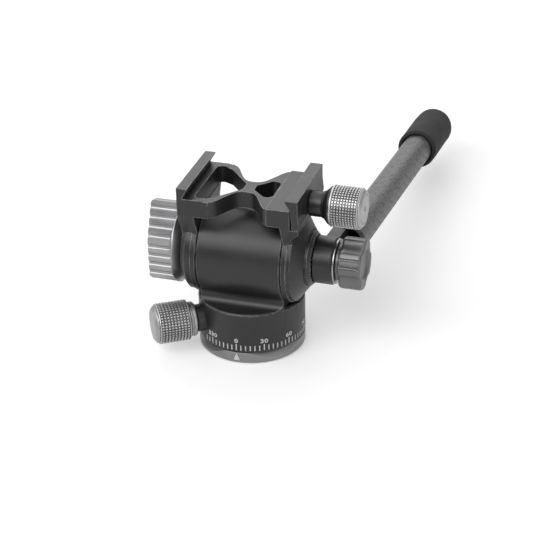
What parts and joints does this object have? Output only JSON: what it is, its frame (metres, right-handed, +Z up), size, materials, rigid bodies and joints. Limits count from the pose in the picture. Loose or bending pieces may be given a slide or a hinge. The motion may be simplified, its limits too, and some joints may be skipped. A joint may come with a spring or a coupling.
{
  "type": "pan head",
  "caption": "Compact tripod pan head: graduated pan barrel, tilting yoke with a dovetail clamp, knurled lock knobs and a carbon handle with a foam grip.",
  "frame": {"origin": "centre of the base underside, on the pan axis, at the mouth of the tripod thread", "axes": "+X along the tilt axis towards the handle, +Y towards the back, where the handle points, +Z up"},
  "size_m": [0.0789, 0.1934, 0.0641],
  "materials": {
    "black_anodised": "bead-blasted black anodising",
    "charcoal_anodised": "satin charcoal anodising",
    "titanium_anodised": "satin titanium-grey anodising",
    "silver_anodised": "satin silver anodising, knurled",
    "steel": "turned steel",
    "bright_steel": "polished steel",
    "bronze": "sintered bronze",
    "bearing_polymer": "low-friction polymer",
    "carbon_fibre": "matte carbon weave",
    "black_plastic": "moulded black plastic",
    "foam": "matte closed-cell foam"
  },
  "bodies": {
    "base": {"base_plate": "titanium_anodised", "thread_bush": "steel", "pan_spindle": "steel", "base_screws": "steel"},
    "body": {"body_housing": "charcoal_anodised", "pan_retaining_ring": "steel", "pan_washer_lower": "bearing_polymer", "pan_washer_upper": "bearing_polymer", "pan_bush": "bronze", "tilt_bush_left": "bronze", "tilt_bush_right": "bronze", "pan_lock_ferrule": "black_anodised"},
    "pan_lock_shoe": {"pan_lock_shoe": "bronze"},
    "pan_lock_knob": {"pan_lock_screw": "steel", "pan_lock_collar": "titanium_anodised", "pan_lock_grip": "titanium_anodised", "pan_lock_cap": "titanium_anodised"},
    "yoke": {"yoke": "black_anodised", "tilt_axle": "steel", "friction_disc_left": "bearing_polymer", "friction_disc_right": "bearing_polymer", "rosette_ring": "charcoal_anodised", "rosette_screws": "steel"},
    "jaw": {"clamp_jaw": "black_anodised", "jaw_guide_pins": "steel"},
    "clamp_knob": {"clamp_screw": "steel", "clamp_screw_clip": "steel", "clamp_knob_sleeve": "titanium_anodised", "clamp_knob_collar": "black_anodised", "clamp_knob_grip": "silver_anodised", "clamp_knob_cap": "silver_anodised"},
    "tilt_lock_washer": {"tilt_lock_washer": "steel"},
    "tilt_lock_knob": {"tilt_lock_knob": "titanium_anodised", "tilt_lock_nut": "bronze"},
    "handle": {"handle_bracket": "black_anodised", "handle_tube": "carbon_fibre", "handle_set_screw": "steel", "handle_end_plug": "black_plastic", "handle_grip": "foam"},
    "handle_washer": {"handle_washer": "bright_steel"},
    "handle_knob": {"handle_knob": "titanium_anodised", "handle_stud": "steel"}
  },
  "joints": [
    {"name": "pan_turn", "type": "hinge", "parent": "base", "child": "body", "pos_m": [0, 0, 0], "axis": [0, 0, 1], "continuous": true},
    {"name": "pan_lock_press", "type": "slide", "parent": "body", "child": "pan_lock_shoe", "axis": [-0.8387, -0.5446, 0], "range_m": [0, 0.0008]},
    {"name": "pan_lock_turn", "type": "hinge", "parent": "pan_lock_shoe", "child": "pan_lock_knob", "pos_m": [0, 0, 0.0113], "axis": [-0.8387, -0.5446, 0], "range_deg": [0, 360]},
    {"name": "tilt", "type": "hinge", "parent": "body", "child": "yoke", "pos_m": [0, 0, 0.0352], "axis": [1, 0, 0], "range_deg": [-80, 80]},
    {"name": "jaw_slide", "type": "slide", "parent": "yoke", "child": "jaw", "axis": [1, 0, 0], "range_m": [0, 0.005]},
    {"name": "clamp_turn", "type": "hinge", "parent": "jaw", "child": "clamp_knob", "pos_m": [0.03, 0, 0.0566], "axis": [1, 0, 0], "range_deg": [0, 1800]},
    {"name": "tilt_lock_press", "type": "slide", "parent": "yoke", "child": "tilt_lock_washer", "axis": [-1, 0, 0], "range_m": [0, 0.0015]},
    {"name": "tilt_lock_turn", "type": "hinge", "parent": "tilt_lock_washer", "child": "tilt_lock_knob", "pos_m": [-0.025, 0, 0.0352], "axis": [-1, 0, 0], "range_deg": [0, 540]},
    {"name": "handle_swing", "type": "hinge", "parent": "yoke", "child": "handle", "pos_m": [0.028, 0, 0.0352], "axis": [1, 0, 0], "range_deg": [-180, 35]},
    {"name": "handle_lock_press", "type": "slide", "parent": "handle", "child": "handle_washer", "axis": [1, 0, 0], "range_m": [0, 0.0015]},
    {"name": "handle_lock_turn", "type": "hinge", "parent": "handle_washer", "child": "handle_knob", "pos_m": [0.035, 0, 0.0352], "axis": [1, 0, 0], "range_deg": [0, 540]}
  ],
  "couplings": [
    {"joint": "pan_lock_press", "follows": "pan_lock_turn", "m_per_rad": 0.00012732},
    {"joint": "jaw_slide", "follows": "clamp_turn", "m_per_rad": 0.00015915},
    {"joint": "tilt_lock_press", "follows": "tilt_lock_turn", "m_per_rad": 0.00015915},
    {"joint": "handle_lock_press", "follows": "handle_lock_turn", "m_per_rad": 0.00015915}
  ]
}
